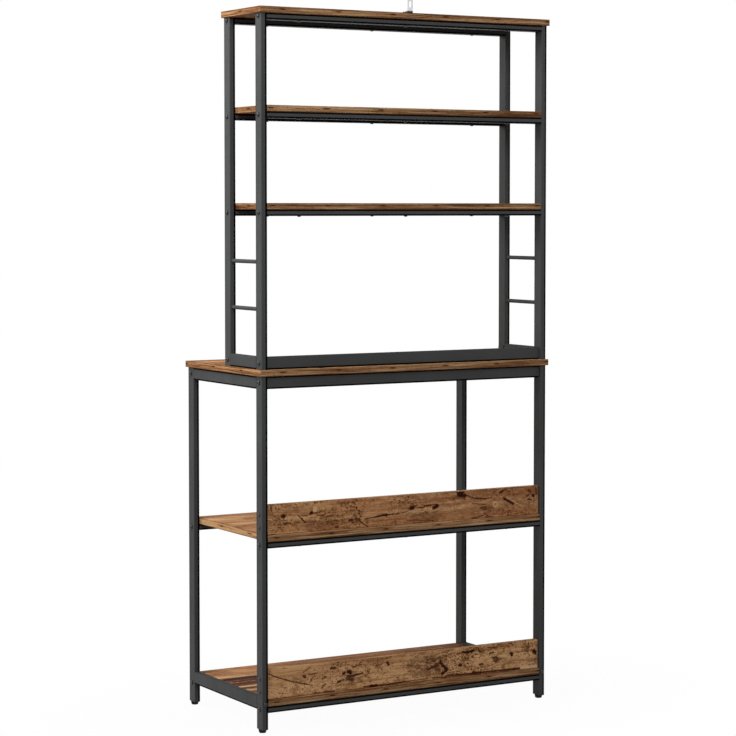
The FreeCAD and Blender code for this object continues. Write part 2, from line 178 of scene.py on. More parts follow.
def shared_group(name, inputs, outputs):
    """Starts a shader group with its named sockets: (tree, its inputs, its outputs)."""
    tree = bpy.data.node_groups.new(name, "ShaderNodeTree")
    for label, kind, start in inputs:
        socket = tree.interface.new_socket(name=label, in_out="INPUT", socket_type="NodeSocket" + kind)
        if start is not None:
            socket.default_value = start
    for label, kind in outputs:
        tree.interface.new_socket(name=label, in_out="OUTPUT", socket_type="NodeSocket" + kind)
    return tree, tree.nodes.new("NodeGroupInput").outputs, tree.nodes.new("NodeGroupOutput").inputs


def use(tree, group, inputs):
    return put(tree, "Group", inputs, node_tree=group).outputs


# Colours of the board decor, from dark to light

CHAR = (0.016, 0.004, 0.002)
WALNUT = (0.080, 0.028, 0.009)
UMBER = (0.175, 0.072, 0.025)
RUST = (0.270, 0.085, 0.036)
CHESTNUT = (0.285, 0.131, 0.052)
HONEY = (0.395, 0.203, 0.088)
STRAW = (0.560, 0.325, 0.155)
PLANK_TONES = [(0.32, WALNUT), (0.40, UMBER), (0.48, CHESTNUT), (0.56, HONEY), (0.66, STRAW)]

# What the colours of the long edge bands are multiplied by
BAND_TINT = (0.72, 0.79, 0.88)

# Colours of the marks that are drawn on the decor
SMOKE = (0.085, 0.034, 0.016)
MAROON = (0.085, 0.022, 0.009)
EMBER = (0.140, 0.048, 0.022)
AMBER = (0.560, 0.265, 0.120)
PALE = (0.60, 0.40, 0.23)


# Sizes in the board decor

# Waves of noise, in metres along the grain and across it. The third number keeps a board's faces apart.
PLANK_WAVE = (1.10, 0.048, 1.0)
STREAK_WAVE = (0.190, 0.0085, 1.0)
THREAD_WAVE = (0.060, 0.0028, 1.0)
FIBRE_WAVE = (0.016, 0.0007, 1.0)
DRIFT_WAVE = (0.30, 0.11, 1.0)
RUST_WAVE = (0.26, 0.020, 1.0)
BLEACH_WAVE = (0.20, 0.012, 1.0)
WEATHER_WAVE = (0.075, 0.045, 1.0)
STAIN_WAVE = (0.019, 0.010, 1.0)
SPECKLE_WAVE = (0.0062, 0.0040, 1.0)
CRACK_WAVE = (0.170, 0.021, 1.0)
CRACKED_WAVE = (0.105, 0.040, 1.0)
SWARM_WAVE = (0.110, 0.070, 1.0)
KNOT_EDGE_WAVE = (0.012, 0.008, 1.0)
BAND_KNOT_WAVE = (0.010, 0.002, 1.0)

# Cells for the knots, flecks and holes, in the same way
KNOT_CELL = (0.230, 0.085, 1.0)
FLECK_CELL = (0.034, 0.0075, 1.0)
HOLE_CELL = (0.0068, 0.0060, 1.0)

# How far off the bleached stripes and the cracks read the grain, so that they don't follow its streaks
BLEACH_SHIFT = (3.1, 0.7, 0.0)
CRACK_SHIFT = (0.9, 2.3, 0.0)

# How far apart the faces, the long edges and the ends lie in the decor
EDGE_SHEET = 1.7
END_SHEET = 3.3

STREAK_SHARE = 0.46
PLANK_SHARE = 0.30
THREAD_SHARE = 0.24
FIBRE_SHARE = 0.10
TONE_BEFORE_DEPTH = 0.75
DEPTH_SHARE = 0.5

SMALL_KNOT = 3.5 * MM
LARGE_KNOT = 8.5 * MM
KNOT_STRETCH = 1.6
KNOT_RAGGEDNESS = 6.0 * MM
KNOT_PUSH = -0.75
GRAIN_DRIFT = 30.0 * MM

# The edge band's repeat
BAND_PITCH = 0.147
BAND_KNOT_HALF = 9.5 * MM
BAND_KNOT_RISE = 1.6 * MM


# Shared groups of the board decor

def make_board_layout():
    """Lays the decor on a board, with the grain along its faces and edges, and along its end bands."""
    tree, given, made = shared_group(
        "board layout",
        [("Point", "Vector", None), ("Normal", "Vector", None)],
        [("Flat", "Vector"), ("Long edge", "Float"), ("End band", "Float")])
    facing = split(tree, vectors(tree, "ABSOLUTE", given["Normal"]))
    side = maths(tree, "GREATER_THAN", facing["Y"], 0.7)
    end = maths(tree, "GREATER_THAN", facing["X"], 0.7)
    place = split(tree, given["Point"])
    along = between(tree, end, place["X"], place["Y"])
    across = between(tree, most(tree, side, end), place["Y"], place["Z"])
    sheet = plus(tree, times(tree, side, EDGE_SHEET), times(tree, end, END_SHEET))
    plug(tree, made["Flat"], join(tree, along, across, sheet))
    plug(tree, made["Long edge"], side)
    plug(tree, made["End band"], end)
    return tree


def scattered_knots(tree, flat, amount):
    """Knots of several sizes: (distance in knot sizes, 1 where the cell has a knot, distance across)."""
    cell = cells(tree, flat, KNOT_CELL, 0.8, "3D")
    pick = split(tree, cell["Color"])
    reach = vectors(tree, "SUBTRACT", vectors(tree, "DIVIDE", flat, KNOT_CELL), cell["Position"])
    offset = split(tree, vectors(tree, "MULTIPLY", reach, KNOT_CELL))
    wobble = cloud(tree, flat, KNOT_EDGE_WAVE, 2.0)
    size = between(tree, pick["Y"], SMALL_KNOT, LARGE_KNOT)
    distance = hypotenuse(tree, over(tree, offset["X"], KNOT_STRETCH), offset["Y"])
    distance = plus(tree, distance, centred(tree, wobble, KNOT_RAGGEDNESS))
    return over(tree, distance, size), maths(tree, "GREATER_THAN", amount, pick["X"]), offset["Y"]


def plank_streaks(tree, grain, contrast, depth):
    """Tones along the grain, from whole planks down to fibres: (tone, streaks, threads, fibres)."""
    plank = cloud(tree, grain, PLANK_WAVE, 1.5, 0.5)
    streak = cloud(tree, grain, STREAK_WAVE, 4.0, 0.62, 0.4)
    thread = cloud(tree, grain, THREAD_WAVE, 3.0, 0.65)
    fibre = cloud(tree, grain, FIBRE_WAVE, 2.0, 0.6)
    tone = plus(tree, times(tree, streak, STREAK_SHARE), times(tree, plank, PLANK_SHARE),
                times(tree, thread, THREAD_SHARE), centred(tree, fibre, FIBRE_SHARE))
    tone = plus(tree, centred(tree, tone, contrast), TONE_BEFORE_DEPTH)
    return minus(tree, tone, times(tree, depth, DEPTH_SHARE)), streak, thread, fibre


def weathered(tree, flat, mottle, colour):
    """Mottles the wood: light specks, soft brown clouds, and small dark pits, most of them in the clouds."""
    weather = fade(tree, cloud(tree, flat, WEATHER_WAVE, 2.0), 0.38, 0.60)
    speckle = cloud(tree, flat, SPECKLE_WAVE, 2.0, 0.6)
    bright = times(tree, fade(tree, speckle, 0.46, 0.34), mottle)
    colour = blend(tree, times(tree, bright, 0.45), colour, STRAW)
    stain = fade(tree, cloud(tree, flat, STAIN_WAVE, 4.0, 0.68), 0.47, 0.61)
    stain = times(tree, stain, plus(tree, weather, 0.2), mottle)
    colour = blend(tree, times(tree, stain, 0.85), colour, UMBER)
    pits = times(tree, fade(tree, speckle, 0.54, 0.64), plus(tree, weather, 0.15), mottle)
    return blend(tree, pits, colour, WALNUT)


def grain_cracks(tree, flat, grain, amount):
    """Cracks that run along the grain, and come and go."""
    vein = cloud(tree, vectors(tree, "ADD", grain, CRACK_SHIFT), CRACK_WAVE, 3.0, 0.6, 0.6)
    line = fade(tree, maths(tree, "ABSOLUTE", minus(tree, vein, 0.5)), 0.002, 0.011, 1.0, 0.0)
    parts = fade(tree, cloud(tree, flat, CRACKED_WAVE, 2.0), 0.50, 0.60)
    return times(tree, line, parts, amount)


def dark_flecks(tree, grain, amount):
    fleck = cells(tree, grain, FLECK_CELL)
    pick = split(tree, fleck["Color"])
    chosen = maths(tree, "GREATER_THAN", amount, times(tree, pick["X"], 4.5))
    return times(tree, fade(tree, fleck["Distance"], 0.08, 0.24, 1.0, 0.0), chosen)


def worm_holes(tree, flat, amount):
    """Small holes in swarms, with a few between them."""
    hole = cells(tree, flat, HOLE_CELL)
    pick = split(tree, hole["Color"])
    swarm = fade(tree, cloud(tree, flat, SWARM_WAVE, 2.0), 0.47, 0.66)
    chosen = maths(tree, "GREATER_THAN", times(tree, plus(tree, swarm, 0.06), amount), pick["X"])
    return times(tree, fade(tree, hole["Distance"], 0.12, 0.30, 1.0, 0.0), chosen)


def make_aged_decor():
    """Old-plank decor: streaks, plank tones, cracks, knots and worm holes, with the height of its pores."""
    tree, given, made = shared_group(
        "aged plank decor",
        [("Flat", "Vector", None), ("Depth", "Float", 0.5), ("Rust", "Float", 0.3),
         ("Cracks", "Float", 0.5), ("Knots", "Float", 0.5), ("Worm holes", "Float", 0.3),
         ("Mottle", "Float", 0.3), ("Contrast", "Float", 1.6)],
        [("Colour", "Color"), ("Marks", "Float"), ("Relief", "Float"), ("Sheen share", "Float")])
    flat = given["Flat"]
    place = split(tree, flat)

    # A knot pushes the grain apart around it, and the grain drifts across the board.
    rings, knotted, aside = scattered_knots(tree, flat, given["Knots"])
    push = times(tree, fade(tree, rings, 0.6, 4.5, 1.0, 0.0), knotted, KNOT_PUSH)
    drift = centred(tree, cloud(tree, flat, DRIFT_WAVE, 2.0), GRAIN_DRIFT)
    across = plus(tree, place["Y"], times(tree, aside, push), drift)
    grain = join(tree, place["X"], across, place["Z"])

    tone, streak, thread, fibre = plank_streaks(tree, grain, given["Contrast"], given["Depth"])
    colour = ramp(tree, tone, PLANK_TONES)
    rust = fade(tree, cloud(tree, grain, RUST_WAVE, 3.0), 0.46, 0.66)
    colour = blend(tree, times(tree, rust, given["Rust"]), colour, RUST)
    bleach = cloud(tree, vectors(tree, "ADD", grain, BLEACH_SHIFT), BLEACH_WAVE, 2.0)
    bleach = fade(tree, bleach, 0.60, 0.74)
    colour = blend(tree, times(tree, bleach, 0.40), colour, STRAW)
    colour = weathered(tree, flat, given["Mottle"], colour)

    rim = times(tree, fade(tree, rings, 1.0, 2.6, 0.55, 0.0), knotted)
    colour = blend(tree, rim, colour, WALNUT)
    heart = times(tree, fade(tree, rings, 0.55, 1.05, 1.0, 0.0), knotted)
    marks = most(tree, times(tree, heart, 0.9),
                 times(tree, grain_cracks(tree, flat, grain, given["Cracks"]), 0.9),
                 times(tree, worm_holes(tree, flat, given["Worm holes"]), 0.8),
                 times(tree, dark_flecks(tree, grain, given["Cracks"]), 0.6))
    plug(tree, made["Colour"], blend(tree, marks, colour, CHAR))
    plug(tree, made["Marks"], marks)
    plug(tree, made["Relief"], minus(tree, between(tree, 0.5, fibre, thread), marks))
    plug(tree, made["Sheen share"], streak)
    return tree


def make_drawn_mark():
    """One stroke of the decor from one point to another, with soft edges, over the strokes before it."""
    tree, given, made = shared_group(
        "drawn mark",
        [("Flat", "Vector", None), ("Start", "Vector", None), ("Finish", "Vector", None),
         ("Half width", "Float", 0.001), ("Strength", "Float", 1.0), ("Ragged", "Float", 0.0),
         ("Before", "Float", 0.0)],
        [("Mark", "Float"), ("Flat", "Vector")])

    # The place moves on by next to nothing with the mark before, so that each stroke waits for its turn
    # and the shader never holds more than one of them at a time.
    turn = join(tree, times(tree, given["Before"], 1e-7), 0.0, 0.0)
    flat = vectors(tree, "ADD", given["Flat"], turn)
    run = vectors(tree, "SUBTRACT", given["Finish"], given["Start"])
    reach = vectors(tree, "SUBTRACT", flat, given["Start"])
    share = maths(tree, "DIVIDE", vectors(tree, "DOT_PRODUCT", reach, run),
                  vectors(tree, "DOT_PRODUCT", run, run), clamp=True)
    gap = vectors(tree, "LENGTH", vectors(tree, "SUBTRACT", reach, scaled(tree, run, share)))
    edge = plus(tree, over(tree, gap, given["Half width"]), given["Ragged"])
    mark = times(tree, fade(tree, edge, 0.70, 1.30, 1.0, 0.0), given["Strength"])
    plug(tree, made["Mark"], most(tree, mark, given["Before"]))
    plug(tree, made["Flat"], flat)
    return tree


def make_band_knots():
    """The edge band's repeat: one long dark knot in each pitch."""
    tree, given, made = shared_group(
        "edge band knots",
        [("Flat", "Vector", None), ("First", "Float", 0.0), ("Pitch", "Float", BAND_PITCH),
         ("Middle", "Float", 0.0)],
        [("Mark", "Float"), ("Halo", "Float")])
    place = split(tree, given["Flat"])
    turn = over(tree, minus(tree, place["X"], given["First"]), given["Pitch"])
    step = minus(tree, maths(tree, "FRACT", plus(tree, turn, 0.5)), 0.5)
    ragged = cloud(tree, given["Flat"], BAND_KNOT_WAVE, 3.0)
    along = over(tree, times(tree, step, given["Pitch"]), BAND_KNOT_HALF)
    across = over(tree, minus(tree, place["Y"], given["Middle"]), BAND_KNOT_RISE)
    gap = plus(tree, hypotenuse(tree, along, across), centred(tree, ragged, 1.6))
    plug(tree, made["Mark"], fade(tree, gap, 0.55, 1.25, 1.0, 0.0))
    plug(tree, made["Halo"], fade(tree, gap, 1.1, 3.2, 1.0, 0.0))
    return tree


# Waves of the powder coat, in metres
COAT_DRIFT_WAVE = (0.16, 0.16, 0.30)
COAT_SPECKLE_WAVE = (0.0011, 0.0011, 0.0011)
COAT_PEEL_WAVE = (0.0024, 0.0024, 0.0024)
COAT_DUST_WAVE = (0.030, 0.030, 0.055)


def make_powder_grain():
    """Powder coat: drifts in tone along the tube, dust in its gloss, and a fine orange-peel height."""
    tree, given, made = shared_group(
        "powder coat grain",
        [("Point", "Vector", None)],
        [("Tone", "Float"), ("Gloss", "Float"), ("Relief", "Float")])
    drift = cloud(tree, given["Point"], COAT_DRIFT_WAVE, 2.0)
    speckle = cloud(tree, given["Point"], COAT_SPECKLE_WAVE, 2.0)
    peel = cloud(tree, given["Point"], COAT_PEEL_WAVE, 2.0, 0.5)
    dust = cloud(tree, given["Point"], COAT_DUST_WAVE, 4.0, 0.7)
    plug(tree, made["Tone"], between(tree, 0.45, drift, speckle))
    plug(tree, made["Gloss"], between(tree, 0.3, dust, speckle))
    plug(tree, made["Relief"], between(tree, 0.3, peel, speckle))
    return tree


BOARD_LAYOUT = make_board_layout()
AGED_DECOR = make_aged_decor()
DRAWN_MARK = make_drawn_mark()
BAND_KNOTS = make_band_knots()
POWDER_GRAIN = make_powder_grain()


# Steel, zinc and plastic

# How far the painted shade lines reach in from the edges of the posts and the rails, and how dark the
# painted shade is, along the edges and on open tops
POST_SHADE_LINE = 5.2 * MM
RAIL_SHADE_LINE = 3.9 * MM
END_SHADE_LINE_STRENGTH = 0.20
EDGE_SHADE = 0.94
OPEN_TOP_SHADE = 0.42
SHADE_BLACK = (0.001, 0.001, 0.001)

# Heights of the fine reliefs
COAT_PEEL = 0.03 * MM
BOLT_PEEL = 0.02 * MM
MOULD_RELIEF = 0.05 * MM
TURNING_RELIEF = 0.08 * MM

# Waves of the moulded plastic and the zinc, in metres
MOULD_GRAIN_WAVE = (0.0006, 0.0006, 0.0006)
MOULD_FLOW_WAVE = (0.012, 0.012, 0.004)
ZINC_PATCH_WAVE = (0.006, 0.006, 0.006)
TURNING_WAVE = (0.010, 0.010, 0.0006)


def new_finish(name, metallic=0.0, specular=0.5):
    """Starts a material: (material, tree, Principled shader, object point, object normal)."""
    material = bpy.data.materials.new(name)
    material.use_nodes = True
    tree = material.node_tree
    shader = tree.nodes["Principled BSDF"]
    shader.inputs["Metallic"].default_value = metallic
    shader.inputs["Specular IOR Level"].default_value = specular
    where = put(tree, "TexCoord").outputs
    return material, tree, shader, where["Object"], where["Normal"]


def set_relief(tree, shader, height, depth, strength=1.0):
    bump = put(tree, "Bump", {"Height": height, "Distance": depth, "Strength": strength})
    tree.links.new(bump.outputs["Normal"], shader.inputs["Normal"])


def edge_shade_line(tree, gap, width, strength=1.0):
    """A line of painted shade where the gap to a tube's edge is small."""
    return fade(tree, gap, width * 0.9, width * 1.1, strength, 0.0)


def tube_shade(tree, normal, run, size, open_top):
    """Painted shade: 1 along a tube's edges, where the coat is painted dark as shade, and 0 on its flats.

    run is the axis that the tube runs along, and size is its box in metres. A tube with open_top has its
    top in sight, with no line along it and only a little painted shade on it."""
    place = split(tree, vectors(tree, "MULTIPLY", put(tree, "TexCoord").outputs["Generated"], size))
    facing = split(tree, normal)
    either_way = split(tree, vectors(tree, "ABSOLUTE", normal))

    # Painted shade on the rounded corners below, to the left and to the front
    flat = most(tree, either_way["X"], either_way["Y"], either_way["Z"])
    to_left = most(tree, times(tree, facing["X"], -1.0), 0.0)
    to_front = most(tree, times(tree, facing["Y"], -0.5), 0.0)
    shade = times(tree, fade(tree, flat, 0.90, 0.995, 1.6, 0.0),
                  plus(tree, either_way["Z"], to_left, to_front))
    # An open top keeps its rounded corners clear of painted shade, and its top face gets a little painted
    # shade.
    if open_top:
        shade = times(tree, shade, fade(tree, facing["Z"], 0.1, 0.3, 1.0, 0.0))
        shade = most(tree, shade, fade(tree, facing["Z"], 0.2, 0.9, 0.0, OPEN_TOP_SHADE))

    # The painted shade lines on the flats beside them
    if run == "Z":
        on_back = times(tree, edge_shade_line(tree, place["X"], POST_SHADE_LINE), fade(tree, facing["Y"], 0.6, 0.8))
        on_end = times(tree, edge_shade_line(tree, place["Y"], POST_SHADE_LINE, END_SHADE_LINE_STRENGTH),
                       fade(tree, either_way["X"], 0.6, 0.8))
        line = most(tree, on_back, on_end)
    else:
        top = 1.0 if open_top else minus(tree, size[2], place["Z"])
        line = edge_shade_line(tree, maths(tree, "MINIMUM", place["Z"], top), RAIL_SHADE_LINE)
    upright = fade(tree, either_way["Z"], 0.3, 0.6, 1.0, 0.0)
    return maths(tree, "MAXIMUM", shade, times(tree, line, upright), clamp=True)


def coated_steel(name, dark, light, gloss, peel=COAT_PEEL, specular=0.5, tube=None):
    """Powder-coated steel between two tones, with roughness between the two gloss values.

    tube is what tube_shade needs, for a tube with painted shade along its edges."""
    material, tree, shader, point, normal = new_finish(name, specular=specular)
    grain = use(tree, POWDER_GRAIN, {"Point": point})
    colour = blend(tree, fade(tree, grain["Tone"], 0.30, 0.70), dark, light)
    rough = fade(tree, grain["Gloss"], 0.30, 0.70, *gloss)
    if tube:
        # Painted shade along the tube's edges, mixed into its colour and roughness
        shade = times(tree, tube_shade(tree, normal, *tube), EDGE_SHADE)
        colour = blend(tree, shade, colour, SHADE_BLACK)
        rough = between(tree, shade, rough, 1.0)

        # The painted shade also drives Metallic: a black metal has no white sheen, so the painted shade
        # looks as dark as it is.
        plug(tree, shader.inputs["Metallic"], shade)
    plug(tree, shader.inputs["Base Color"], colour)
    plug(tree, shader.inputs["Roughness"], rough)
    set_relief(tree, shader, grain["Relief"], peel)
    return material


def moulded_plastic(name, dark, light):
    """Black moulded plastic with a fine spark-eroded texture."""
    material, tree, shader, point, _ = new_finish(name, specular=0.12)
    texture = cloud(tree, point, MOULD_GRAIN_WAVE, 3.0, 0.7)
    flow = cloud(tree, point, MOULD_FLOW_WAVE, 2.0)
    plug(tree, shader.inputs["Base Color"], blend(tree, flow, dark, light))
    plug(tree, shader.inputs["Roughness"], fade(tree, texture, 0.25, 0.75, 0.42, 0.68))
    set_relief(tree, shader, texture, MOULD_RELIEF)
    return material


def turned_zinc(name):
    """Zinc-plated thread: bright metal with a fine turned grain and dull patches."""
    material, tree, shader, point, _ = new_finish(name, metallic=0.9)
    patches = cloud(tree, point, ZINC_PATCH_WAVE, 3.0)
    turned = cloud(tree, point, TURNING_WAVE, 2.0)
    plug(tree, shader.inputs["Base Color"], blend(tree, patches, (0.42, 0.43, 0.45), (0.62, 0.62, 0.60)))
    plug(tree, shader.inputs["Roughness"], fade(tree, patches, 0.3, 0.7, 0.28, 0.48))
    set_relief(tree, shader, turned, TURNING_RELIEF)
    return material


CHARCOAL = dict(dark=(0.034, 0.035, 0.035), light=(0.048, 0.049, 0.049), gloss=(0.46, 0.62), specular=0.12)
CHARCOAL_ROD = coated_steel("charcoal powder coat", **CHARCOAL)
# Charcoal coats with painted edge shade, one for each kind of tube
SHADED_TUBE_COATS = {}

# The rails that no board covers
OPEN_TOPPED = ("bottom_side_rail", "hutch_base")


def shaded_tube_coat(node):
    """The charcoal coat, with painted edge shade, for tubes that run and measure the same as this one."""
    low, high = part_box(node)
    size = tuple(round(h - l, 4) for l, h in zip(low, high))
    run = "XYZ"[size.index(max(size))]
    kind = run, size, node.startswith(OPEN_TOPPED)
    if kind not in SHADED_TUBE_COATS:
        name = f"charcoal powder coat, {run} tube {len(SHADED_TUBE_COATS) + 1}"
        SHADED_TUBE_COATS[kind] = coated_steel(name, **CHARCOAL, tube=kind)
    return SHADED_TUBE_COATS[kind]


BLACK_BOLT = coated_steel("black coated fastener", (0.003, 0.003, 0.003), (0.007, 0.007, 0.008),
                          (0.12, 0.20), BOLT_PEEL)
PALE_STEEL = coated_steel("pale grey coated steel", (0.60, 0.61, 0.63), (0.72, 0.73, 0.75), (0.30, 0.46))
FOOT_BLACK = moulded_plastic("black moulded foot", (0.002, 0.002, 0.002), (0.006, 0.006, 0.006))
INSERT_BLACK = moulded_plastic("black moulded insert", (0.012, 0.012, 0.012), (0.024, 0.024, 0.024))
PAD_BLACK = moulded_plastic("black rubber pad", (0.010, 0.010, 0.010), (0.022, 0.022, 0.022))
ZINC = turned_zinc("zinc plated thread")


# Boards

# The knots of the end bands start here, and those of the long edges where each board says.
END_KNOT = -0.047
KNOT_ABOVE_MIDDLE = 1.5 * MM

# How the edge bands differ from the sheet. The stretch makes the grain of a flat board's bands finer.
BAND_STRETCH = 2.4
BAND_PALER = 0.08
BAND_LOOK = {"Rust": 0.1, "Cracks": 0.55, "Knots": 0.0, "Worm holes": 0.10, "Contrast": 2.4}

# Where a swarm of worm holes sets in
SWARM_WORMS = 1.8
SWARM_MOTTLE = 1.0

PORE_DEPTH = 0.22 * MM

# The paints of the drawn marks in the order that they go on, with True for those that break up in mottles
MARK_PAINTS = (("warm", EMBER, True), ("bright", AMBER, True), ("smudges", SMOKE, True),
               ("pale", PALE, False), ("dark", CHAR, False))

# A mark's soft, ragged edge takes up part of it, so it is drawn wider and stronger than it looks. The power
# makes weak dark marks fainter than their strength says.
MARK_SPREAD = 1.7
MARK_FORCE = 1.22
DARK_MARK_POWER = 1.7
FULL_MARK = 0.97
MARK_JITTER = 3.2 * MM
MARK_JITTER_SCALE = 150.0
MARK_RAGGEDNESS = 3.2
MARK_EDGE_WAVE = (0.0042, 0.0022, 1.0)
MARK_MOTTLE_WAVE = (0.015, 0.006, 1.0)

# Every leg's end lies this much further along X, in mm, so that a leg that ends where it starts is a dot.
LEG_EXTRA = 0.3


def mark_legs(marks):
    """Each leg of each mark: (x, y, x, y, half width, strength)."""
    for x, y, *legs in marks:
        for x_end, y_end, half, strength in legs:
            yield x, y, x_end + LEG_EXTRA, y_end, half, strength
            x, y = x_end, y_end


def draw_marks(tree, flat, shown, colour, marks):
    """Draws the marks of one face over its colour, where shown is 1."""
    noise = put(tree, "TexNoise", {"Vector": flat, "Scale": MARK_JITTER_SCALE, "Detail": 3.0})
    jitter = vectors(tree, "SUBTRACT", noise.outputs["Color"], (0.5, 0.5, 0.5))
    place = vectors(tree, "ADD", flat, scaled(tree, jitter, MARK_JITTER))
    place = vectors(tree, "MULTIPLY", place, (1.0, 1.0, 0.0))
    ragged = centred(tree, cloud(tree, flat, MARK_EDGE_WAVE, 4.0, 0.7), MARK_RAGGEDNESS)
    for kind, paint, mottled in MARK_PAINTS:
        power = DARK_MARK_POWER if kind == "dark" else 1.0
        total = times(tree, shown, 1e-6)
        for x1, y1, x2, y2, half, strength in mark_legs(marks.get(kind, [])):
            mark = use(tree, DRAWN_MARK, {
                "Flat": place, "Start": (x1 * MM, y1 * MM, 0.0), "Finish": (x2 * MM, y2 * MM, 0.0),
                "Half width": half * MARK_SPREAD * MM,
                "Strength": min(strength ** power * MARK_FORCE, FULL_MARK),
                "Ragged": ragged, "Before": total})
            total, place = mark["Mark"], mark["Flat"]
        if mottled:
            patches = cloud(tree, flat, MARK_MOTTLE_WAVE, 4.0, 0.7)
            total = times(tree, total, fade(tree, patches, 0.38, 0.60, 0.25, 1.3))
        total = maths(tree, "MULTIPLY", total, shown, clamp=True)
        if kind == "dark":
            fringe = fade(tree, total, 0.0, 0.45, 0.0, 0.75)
            colour = blend(tree, fringe, colour, MAROON)
            total = maths(tree, "POWER", total, 1.6)
        colour = blend(tree, total, colour, paint)
    return colour


def draw_band_knots(tree, layout, band, first_knot, middle, colour):
    """Draws the knots of the edge bands: (colour, where the knots are)."""
    first = between(tree, layout["End band"], first_knot, END_KNOT)
    knots = use(tree, BAND_KNOTS, {"Flat": layout["Flat"], "First": first, "Middle": middle})
    colour = blend(tree, times(tree, knots["Halo"], band, 0.35), colour, UMBER)
    knot = times(tree, knots["Mark"], band)
    return blend(tree, times(tree, knot, 0.90), colour, CHAR), knot


def darken_edges(tree, layout, point, normal, box, colour):
    """Draws the bands' glue lines, thin and dark along both arrises, the lower one wider and darker with
    painted shade, and darkens the rims of the flat faces along the front edge and the +X end.
    """
    low, high = box
    place = split(tree, point)
    below, above = minus(tree, place["Z"], low.z), minus(tree, high.z, place["Z"])
    # Glue lines along both arrises; the lower one is wider and darker with painted shade under the board's
    # edge.
    glue_line_and_shade = most(tree, fade(tree, below, 0.6 * MM, 2.4 * MM, 0.80, 0.0),
                fade(tree, above, 0.3 * MM, 1.0 * MM, 0.50, 0.0))
    glue_line_and_shade = times(tree, glue_line_and_shade, most(tree, layout["Long edge"], layout["End band"]))
    level = fade(tree, split(tree, normal)["Z"], 0.7, 0.8)
    # The flat faces are darker within a few mm of the front edge and the +X end.
    from_rim = maths(tree, "MINIMUM", minus(tree, place["Y"], low.y), minus(tree, high.x, place["X"]))
    darker_rim = times(tree, fade(tree, from_rim, 1.5 * MM, 6.0 * MM, 0.70, 0.0), level)
    return blend(tree, most(tree, glue_line_and_shade, darker_rim), colour, WALNUT)


def aged_board(node, slide, face="top", first_knot=0.0, depth=0.5, rust=0.3, cracks=0.5, knots=0.4,
               worms=0.3, mottle=0.3, contrast=1.6, swarm=None, marks=None):
    """Aged plank decor on one board.

    slide picks the part of the decor. face says which faces carry the sheet, and the rest are edge bands.
    depth is how dark it is. swarm is the two places along X between which worm holes set in."""
    low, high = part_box(node)
    material, tree, shader, point, normal = new_finish("aged decor " + node.replace("_", " "), specular=0.03)
    layout = use(tree, BOARD_LAYOUT, {"Point": point, "Normal": normal})
    side, end = layout["Long edge"], layout["End band"]
    flat_board = face == "top"
    band = most(tree, side, end) if flat_board else minus(tree, 1.0, side)
    if swarm:
        where = fade(tree, split(tree, point)["X"], *swarm)
        worms = between(tree, where, worms, SWARM_WORMS)
        mottle = between(tree, where, mottle, SWARM_MOTTLE)
    stretch = join(tree, 1.0, between(tree, band, 1.0, BAND_STRETCH if flat_board else 1.0), 1.0)
    sheet = {"Rust": rust, "Cracks": cracks, "Knots": knots, "Worm holes": worms, "Contrast": contrast}
    look = {name: between(tree, band, value, BAND_LOOK[name]) for name, value in sheet.items()}
    decor = use(tree, AGED_DECOR, {
        "Flat": vectors(tree, "ADD", vectors(tree, "MULTIPLY", layout["Flat"], stretch), slide),
        "Depth": between(tree, band, depth, depth - BAND_PALER), "Mottle": mottle, **look})
    colour, dark = decor["Colour"], decor["Marks"]
    colour = blend(tree, times(tree, side, band), colour, BAND_TINT, "MULTIPLY")
    if flat_board:
        middle = (low.z + high.z) / 2 + KNOT_ABOVE_MIDDLE
        colour, knot = draw_band_knots(tree, layout, band, first_knot, middle, colour)
        dark = most(tree, dark, knot)
    colour = darken_edges(tree, layout, point, normal, (low, high), colour)
    if marks:
        shown = fade(tree, split(tree, normal)["Z" if flat_board else "Y"], 0.7, 0.8)
        colour = draw_marks(tree, layout["Flat"], shown, colour, marks)
    plug(tree, shader.inputs["Base Color"], colour)
    plug(tree, shader.inputs["Roughness"], fade(tree, decor["Sheen share"], 0.25, 0.75, 0.74, 0.58))
    set_relief(tree, shader, minus(tree, decor["Relief"], dark), PORE_DEPTH, 0.8)
    return material


def ring_mark(x, y, radius, half, strength, sides=8):
    """A mark that runs round a ring."""
    turns = [2 * math.pi * i / sides for i in range(sides + 1)]
    first, *others = [(x + radius * math.cos(a), y + radius * math.sin(a)) for a in turns]
    return (*first, *((*corner, half, strength) for corner in others))
